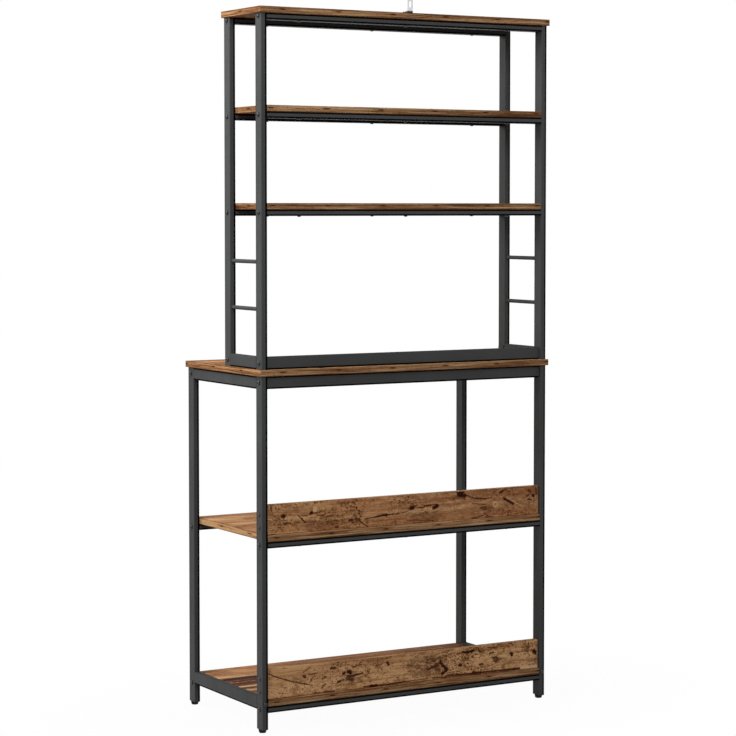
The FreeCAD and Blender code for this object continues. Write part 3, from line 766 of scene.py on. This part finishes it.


# Marks drawn on the boards

# These are the marks that stand out in the photo, with their places read off it. Each mark is
# (x, y, leg, leg, ...), and each leg is (x, y, half width, strength), where x and y are its end. Lengths are
# in mm, and y is the height on a fence.

MIDDLE_FENCE_MARKS = {
    "dark": [
        # A round knot near the end, with dashes under it
        (335, 503.5, (336, 503.5, 2.8, .97)), (345, 494, (326, 493, .8, .45)),
        (334, 486.5, (317, 486, 1.2, .65)), (330, 481.5, (323, 481, .8, .40)),
        # A slanting scratch
        (296, 502.5, (288, 495.5, .9, .60)), (288, 495, (277, 484.5, 1.2, .80)),
        (287, 501, (272, 500.5, .9, .50)),
        # A small knot with a tail, and dashes after it
        (263, 505, (259, 507.5, 2.0, .97)), (256, 505.5, (246, 505.5, .9, .70), (235, 508.5, .9, .60)),
        (246, 500, (228, 499, 1.2, .50)), (214, 496, (201, 495.5, 1.2, .50)),
        (201, 483.5, (187, 482, .8, .60)), (197, 468.5, (189, 467.5, 1.1, .75)),
        (178, 525.5, (160, 519.5, 1.1, .40)),
        # Worm holes in an arc
        (145, 521, (144, 520, 1.2, .70)), (140, 511, (139, 510, 1.3, .80)), (135, 504, (134, 503, 1.2, .80)),
        (133, 497, (132, 496, 1.3, .70)), (148, 493.5, (145, 493, 1.0, .60)),
        (129, 489.5, (127, 489, 1.2, .70)),
        # The long crack, with a branch down
        (158, 482.5, (151, 482.5, 1.9, .80)), (143, 484, (132, 483.5, 1.5, .70)),
        (131, 480, (121, 471, 1.2, .75), (109, 463.5, .9, .65)),
        (117, 482, (87, 485, .9, .75), (69, 488, 1.2, .85), (56, 488, 1.7, .95), (26, 489, 1.0, .80),
         (-3, 493, .8, .50)),
        # Two knots joined by a line
        (-10, 499.5, (-17, 500.5, 2.3, .90)), (-14, 503.5, (-25, 505, .9, .60)),
        (-33, 499, (-49, 499.5, .9, .70)), (-49, 502, (-67, 504, 1.2, .80), (-86, 504.5, .7, .50)),
        (-75, 497, (-86, 501, 2.6, .95)), (-50, 490.5, (-57, 485, 1.0, .50)), (1, 471, (-74, 466, .8, .45)),
        # A knot at the top edge, with a long tail
        (-143, 527.5, (-159, 527.5, 2.2, .95)), (-147, 523, (-164, 520, 2.7, .95)),
        (-156, 516, (-166, 511.5, 1.1, .55)),
        (-167, 521.5, (-191, 512.5, 1.0, .75), (-225, 509.5, 1.1, .75), (-243, 512, .8, .50)),
        # Scratches under the tail
        (-185, 500, (-225, 495, .8, .50)), (-212, 487, (-227, 488, 1.4, .60)),
        (-217, 482, (-228, 484, 1.2, .60)), (-187, 463.5, (-219, 468.5, 1.0, .65)),
        (-220, 474, (-230, 466.5, .9, .60)), (-224, 465.5, (-253, 462.5, .8, .60)),
        # A slash beside the pale ring
        (-279, 506, (-305, 492, 1.8, .85)), (-266, 521.5, (-275, 525, 1.7, .80), (-284, 528.5, 1.0, .60)),
        (-292, 476, (-315, 472, .8, .50)),
        # A worn knot at the far end
        (-351, 523, (-358, 517, 1.3, .70)), (-346, 508, (-351, 510, 1.3, .70)),
        (-363, 509, (-366, 507.5, 2.3, .95)), (-349, 500, (-359, 498.5, 1.3, .75)),
        (-372, 525.5, (-374, 511.5, 1.1, .60)),
    ],
    "smudges": [
        (267, 477.5, (249, 476, 7, .40)), (233, 476, (204, 473, 8, .45)), (-21, 479, (-71, 475, 9, .38)),
        (305, 518, (300, 517, 4, .35)), (-200, 478, (-235, 480, 9, .25)),
    ],
    "pale": [
        (253, 512, (251, 518, 3.0, .50)), (-285, 510, (-336, 481.5, .8, .22)),
        ring_mark(-253, 493.5, 6.0, 1.2, .38),
    ],
    "warm": [
        (-10, 510, (-370, 512, 24, .26)), (60, 480, (-120, 474, 12, .18)), (-260, 505, (-330, 495, 14, .20)),
    ],
}

BOTTOM_FENCE_MARKS = {
    "dark": [
        # A long curve from the end
        (375, 137.5, (355, 128, .8, .70), (314, 113.5, .8, .70), (272, 102, .8, .70), (258, 98.5, .7, .60)),
        # Scratches over it
        (284, 132.5, (265, 141.5, 1.2, .45)), (269, 124.5, (245, 127, 1.0, .50)),
        (283, 123, (279, 121, 1.8, .80)), (264, 108, (261, 114, 1.1, .60), (255, 120, 1.0, .50)),
        (232, 111, (222, 115, 1.0, .60)), (208, 134.5, (198, 133.5, 2.0, .75)),
        (233, 90.5, (226, 97, 1.6, .50)),
        # A cluster of knots
        (190, 99, (183, 101, 1.7, .80)), (182, 102.5, (174, 103.5, 1.0, .55)),
        (177, 117.5, (172, 118.5, 1.8, .85)), (162, 121.5, (156, 119, 2.4, .90)),
        (166, 105.5, (149, 100, 2.2, .55)),
        (162, 110.5, (149, 110, 2.2, .75), (139, 112.5, 1.7, .80), (123, 114, 1.2, .80)),
        (159, 102.5, (152, 102.5, 1.9, .75)), (149, 131, (139, 134, 1.2, .75)),
        (136, 135, (127, 134.5, 1.1, .60)), (110, 118, (106, 115.5, 1.2, .60)),
        (88, 127, (70, 130.5, .9, .60)), (76, 123.5, (70, 117.5, .9, .50)),
        (55, 133.5, (51, 127.5, 1.8, .85)),
        # The seam along the bottom, dark with painted contact shadow where the fence meets the shelf
        (226, 79.5, (203, 79, 1.2, .70)), (248, 80, (164, 81.5, .8, .40)),
        (118, 81, (101, 80.5, 1.0, .70), (83, 80, 1.9, .97), (7, 81, 1.1, .75), (-60, 83, .8, .50)),
        (-72, 83.5, (-111, 80.5, 1.2, .60)), (-111, 83, (-188, 82, 1.4, .70), (-212, 81.5, 1.6, .85)),
        (-212, 82, (-292, 80.5, 1.3, .75)), (-292, 81, (-325, 80.5, 1.6, .80)),
        # A hooked knot
        (-94, 120.5, (-102, 109.5, 1.6, .90), (-113, 101, 2.4, .97), (-111, 96, 2.2, .95),
         (-99, 89.5, 1.8, .90)),
        (-58, 104, (-71, 107, 1.5, .65)), (-71, 109.5, (-85, 110, 1.5, .60)),
        # Holes and dashes among the swarm
        (-141, 134.5, (-161, 136, .9, .60)), (-161, 136.5, (-175, 135.5, 1.8, .90)),
        (-175, 136, (-190, 138, 1.8, .95)), (-204, 142, (-209, 133.5, 1.2, .70)),
        (-237, 126.5, (-248, 128, 1.3, .75)), (-149, 107, (-155, 105, 1.7, .80)),
        (-209, 101.5, (-218, 101, 1.5, .70)), (-300, 120, (-303, 118, 2.7, .95)),
        (-369, 119, (-373, 116, 2.9, .95)), (-352, 142.5, (-351, 113, .8, .60)),
    ],
    "smudges": [
        (-20, 116.5, (-49, 105, 12, .40)), (-62, 121.5, (-90, 113, 12, .62)),
        (-71, 121.5, (-85, 110, 6, .72)), (-253, 112, (-257, 109, 4.5, .80)),
        (170, 106, (140, 108, 8, .25)),
    ],
    "pale": [(-328, 81.5, (-378, 80.5, 2.3, .75))],
}

MIDDLE_SHELF_MARKS = {
    "dark": [
        (347, 7, (343, 7, 1.8, .80)), (331, -140, (295, -124, 1.0, .55)), (318, -60, (272, -52, .8, .35)),
        (360, 60, (318, 66, .8, .30)),
    ],
    "smudges": [(281, -87, (279, -86, 7, .35))],
    "pale": [(372, -118, (300, -104, 5, .45)), (350, -30, (262, -20, 6, .35))],
}

BOTTOM_SHELF_MARKS = {
    "dark": [
        (296, -114, (262, -95, .9, .60)), (368, 42, (336, 47, 1.6, .65)), (372, 88, (356, 96, 4.0, .75)),
        (378, -64, (256, -66, 7.0, .82)), (380, -8, (268, -16, 4.0, .74)), (352, -34, (262, -46, 3.0, .80)),
        (378, 8, (312, 4, 3.0, .60)),
    ],
    "bright": [(250, -150, (-150, -150, 26, .28))],
    "smudges": [
        (378, -28, (262, -38, 24, .92)), (378, -60, (262, -66, 12, .80)), (378, -8, (290, -12, 12, .50)),
    ],
    "pale": [
        (372, -92, (262, -86, 3.2, .45)), (378, 24, (300, 24, 3.2, .65)), (378, 64, (312, 66, 3.2, .50)),
    ],
}

BOARD_LOOKS = {
    "top_board": dict(slide=(0.37, 0.21, 0.0), first_knot=0.341, depth=0.58),
    "hutch_upper_shelf": dict(slide=(1.13, 0.55, 0.2), first_knot=0.371, depth=0.58),
    "hutch_lower_shelf": dict(slide=(2.41, 1.07, 0.4), first_knot=0.366, depth=0.63),
    "worktop": dict(slide=(3.29, 1.61, 0.6), first_knot=0.341, knots=0.5, contrast=1.9),
    "middle_shelf": dict(slide=(4.83, 2.17, 0.8), first_knot=0.357, depth=0.38, mottle=0.15,
                         marks=MIDDLE_SHELF_MARKS),
    "bottom_shelf": dict(slide=(5.57, 2.73, 1.0), first_knot=0.357, depth=0.57, rust=0.5, cracks=0.8,
                         contrast=2.4, marks=BOTTOM_SHELF_MARKS),
    "middle_fence": dict(slide=(6.71, 3.31, 0.0), face="side", depth=0.41, rust=0.45, cracks=0.25, knots=0.0,
                         worms=0.25, mottle=0.80, contrast=1.1, marks=MIDDLE_FENCE_MARKS),
    "bottom_fence": dict(slide=(7.93, 3.97, 0.0), face="side", depth=0.24, rust=0.10, cracks=0.25, knots=0.0,
                         worms=0.45, mottle=0.60, contrast=1.1, swarm=(-0.08, -0.16),
                         marks=BOTTOM_FENCE_MARKS),
}
BOARDS = {node: aged_board(node, **look) for node, look in BOARD_LOOKS.items()}


# Which CAD node has which finish

FASTENERS = ("frame_bolts", "side_rail_bolts", "shelf_screws", "worktop_screws", "fence_screws",
             "hutch_fixing_bolts", "bracket_screws", "anti_tip_screw")
ZINC_PLATED = ("foot_stem", "rail_end_plugs", "hutch_fixing_nuts")
ONE_OFFS = {"leg_inserts": INSERT_BLACK, "anti_tip_bracket": PALE_STEEL, "anti_tip_pad": PAD_BLACK}


def finish_of(node):
    if node in BOARDS:
        return BOARDS[node]
    if node in ONE_OFFS:
        return ONE_OFFS[node]
    if node in FASTENERS:
        return BLACK_BOLT
    if node.startswith("foot_pad"):
        return FOOT_BLACK
    if node.startswith(ZINC_PLATED):
        return ZINC
    if node.startswith(("hutch_rod", "hutch_bracket")):
        return CHARCOAL_ROD
    return shaded_tube_coat(node)


for node, piece in cad.items():
    piece.data.materials.clear()
    piece.data.materials.append(finish_of(node))


# Weld beads, where the photo shows frame parts that meet without bolts

BEAD_SIDES = 10
BEAD_RIPPLE = 0.14
BEAD_TIP = 0.35
CORNER_BEAD = 1.3 * MM
CORNER_BEAD_INSET = 1.5 * MM
CORNER_BEAD_STEPS = 25
RING_BEAD = 1.1 * MM
RING_BEAD_STEPS = 40


def bead_mesh(mesh, path, radius, closed):
    """Adds one rippled bead of weld along a path."""
    count = len(path)
    loops = []
    for i, here in enumerate(path):
        before = path[i - 1] if i or closed else here
        after = path[(i + 1) % count] if closed or i + 1 < count else here
        along = (after - before).normalized()
        first = along.orthogonal().normalized()
        second = along.cross(first)
        size = radius * (1.0 + BEAD_RIPPLE * math.sin(i * math.pi / 2))
        if not closed and i in (0, count - 1):
            size *= BEAD_TIP
        turns = (2 * math.pi * k / BEAD_SIDES for k in range(BEAD_SIDES))
        points = (here + size * (math.cos(a) * first + math.sin(a) * second) for a in turns)
        loops.append([mesh.verts.new(point) for point in points])
    pairs = list(zip(loops, loops[1:])) + ([(loops[-1], loops[0])] if closed else [])
    for one, two in pairs:
        for k in range(BEAD_SIDES):
            after = (k + 1) % BEAD_SIDES
            mesh.faces.new((one[k], one[after], two[after], two[k]))
    if not closed:
        mesh.faces.new(reversed(loops[0]))
        mesh.faces.new(loops[-1])


def link_mesh(name, mesh, material):
    """Makes an object of a finished bmesh."""
    data = bpy.data.meshes.new(name)
    mesh.to_mesh(data)
    mesh.free()
    data.materials.append(material)
    made = bpy.data.objects.new(name, data)
    bpy.context.scene.collection.objects.link(made)
    return made


def weld_piece(name, beads):
    """One piece with all the beads of one kind of joint. Each bead is (points, radius, closed)."""
    mesh = bmesh.new()
    for path, radius, closed in beads:
        bead_mesh(mesh, path, radius, closed)
    bmesh.ops.recalc_face_normals(mesh, faces=mesh.faces)
    piece = link_mesh(name, mesh, CHARCOAL_ROD)
    piece.data.shade_smooth()
    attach(piece, "rack")


def corner_beads(rail, on_top):
    """Straight beads across the ends of a side rail, in the corners on top of it or under it."""
    low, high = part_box(rail)
    side = math.copysign(1.0, low.x)
    inner, outer = sorted((abs(low.x), abs(high.x)))
    start, end = inner + CORNER_BEAD_INSET, outer - CORNER_BEAD_INSET
    step = (end - start) / (CORNER_BEAD_STEPS - 1)
    z = high.z if on_top else low.z
    for y in (low.y, high.y):
        path = [Vector((side * (start + step * i), y, z)) for i in range(CORNER_BEAD_STEPS)]
        yield path, CORNER_BEAD, False


def ring_beads(rod):
    """Beads round a rod where it meets its two posts."""
    low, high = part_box(rod)
    middle, radius = (low + high) / 2, (high.z - low.z) / 2
    for y in (low.y, high.y):
        turns = (2 * math.pi * i / RING_BEAD_STEPS for i in range(RING_BEAD_STEPS))
        path = [Vector((middle.x + radius * math.cos(a), y, middle.z + radius * math.sin(a))) for a in turns]
        yield path, RING_BEAD, True


ENDS = ("left", "right")
weld_piece("worktop_rail_welds", [
    bead for end in ENDS for bead in corner_beads(f"worktop_side_rail_{end}", on_top=False)])
weld_piece("hutch_rail_welds", [
    bead for end in ENDS for bead in corner_beads(f"hutch_base_side_rail_{end}", on_top=True)])
weld_piece("rod_welds", [
    bead for end in ENDS for level in ("lower", "upper") for bead in ring_beads(f"hutch_rod_{end}_{level}")])


# Floor, world, lights and camera

FLOOR_HALF = 9.0
FLOOR_TONES = (0.40, 0.40, 0.40), (0.44, 0.44, 0.44)
FLOOR_WAVE = (0.5, 0.5, 0.5)
AMBIENT = 0.34
WHITE = (1.0, 1.0, 1.0, 1.0)


def seen_or_mirrored(tree):
    """1 for rays from the camera and for those that gloss or glass sends on."""
    path = put(tree, "LightPath").outputs
    return most(tree, path["Is Camera Ray"], most(tree, path["Is Glossy Ray"], path["Is Transmission Ray"]))


def make_floor():
    """Pale floor: white to the camera and in reflections, with the object's soft shadow on it."""
    mesh = bmesh.new()
    corners = ((-1, -1), (1, -1), (1, 1), (-1, 1))
    mesh.faces.new([mesh.verts.new((x * FLOOR_HALF, y * FLOOR_HALF, 0.0)) for x, y in corners])
    material, tree, shader, point, _ = new_finish("pale studio floor", specular=0.1)
    paint = cloud(tree, point, FLOOR_WAVE, 3.0)
    plug(tree, shader.inputs["Base Color"], blend(tree, paint, *FLOOR_TONES))
    shader.inputs["Roughness"].default_value = 0.9

    # Close to the rack a little of the floor's own shade shows.
    away = vectors(tree, "LENGTH", vectors(tree, "MULTIPLY", point, (1.0, 1.5, 0.0)))
    white = times(tree, seen_or_mirrored(tree), fade(tree, away, 0.35, 1.10, 0.97, 1.0))
    glow = put(tree, "Emission", {"Color": WHITE, "Strength": 1.0})
    mixed = put(tree, "MixShader", {0: white})
    tree.links.new(shader.outputs["BSDF"], mixed.inputs[1])
    tree.links.new(glow.outputs["Emission"], mixed.inputs[2])
    tree.links.new(mixed.outputs["Shader"], tree.nodes["Material Output"].inputs["Surface"])
    link_mesh("studio_floor", mesh, material)


def make_world():
    """White to the camera and in reflections, and a plain soft grey for the light it sheds."""
    world = bpy.data.worlds.new("studio")
    bpy.context.scene.world = world
    world.use_nodes = True
    tree = world.node_tree
    background = tree.nodes["Background"]
    background.inputs["Color"].default_value = WHITE
    plug(tree, background.inputs["Strength"], between(tree, seen_or_mirrored(tree), AMBIENT, 1.0))


def soft_lamp(name, place, aim, side, watts, spread):
    """A square lamp of the given side, in metres, aimed at a point, with its spread in degrees."""
    data = bpy.data.lights.new(name, "AREA")
    data.shape = "RECTANGLE"
    data.size, data.size_y = side, side
    data.energy = watts
    data.spread = math.radians(spread)
    lamp = bpy.data.objects.new(name, data)
    bpy.context.scene.collection.objects.link(lamp)
    lamp.location = place
    lamp.rotation_euler = (Vector(aim) - Vector(place)).to_track_quat("-Z", "Y").to_euler()


make_floor()
make_world()
soft_lamp("side_lamp", place=(2.2, 0.3, 4.2), aim=(0.0, 0.0, 0.9), side=1.8, watts=46.0, spread=110.0)
soft_lamp("front_lamp", place=(3.1, -2.3, 2.5), aim=(0.0, 0.0, 1.5), side=1.5, watts=23.0, spread=90.0)
soft_lamp("rear_lamp", place=(1.3, 3.6, 2.9), aim=(0.0, 0.0, 1.8), side=2.0, watts=20.0, spread=75.0)

# The camera stands behind the rack, at the photo's three quarters, where the photo's own edges put it.
CAMERA_PLACE = (2.8609, 4.9323, 1.2184)
CAMERA_YAW = 30.12
CAMERA_PITCH = 2.938
CAMERA_SHIFT = -0.055
SENSOR = 36.0
FRAME_PIXELS = 736.0
FOCAL_PIXELS = 2323.37

camera = bpy.data.objects.new("camera", bpy.data.cameras.new("camera"))
bpy.context.scene.collection.objects.link(camera)
camera.location = CAMERA_PLACE
camera.rotation_euler = (math.radians(90.0 - CAMERA_PITCH), 0.0, math.radians(180.0 - CAMERA_YAW))
camera.data.sensor_width = SENSOR
camera.data.lens = SENSOR * FOCAL_PIXELS / FRAME_PIXELS
camera.data.shift_y = CAMERA_SHIFT
bpy.context.scene.camera = camera

bpy.context.scene.view_settings.view_transform = "Standard"
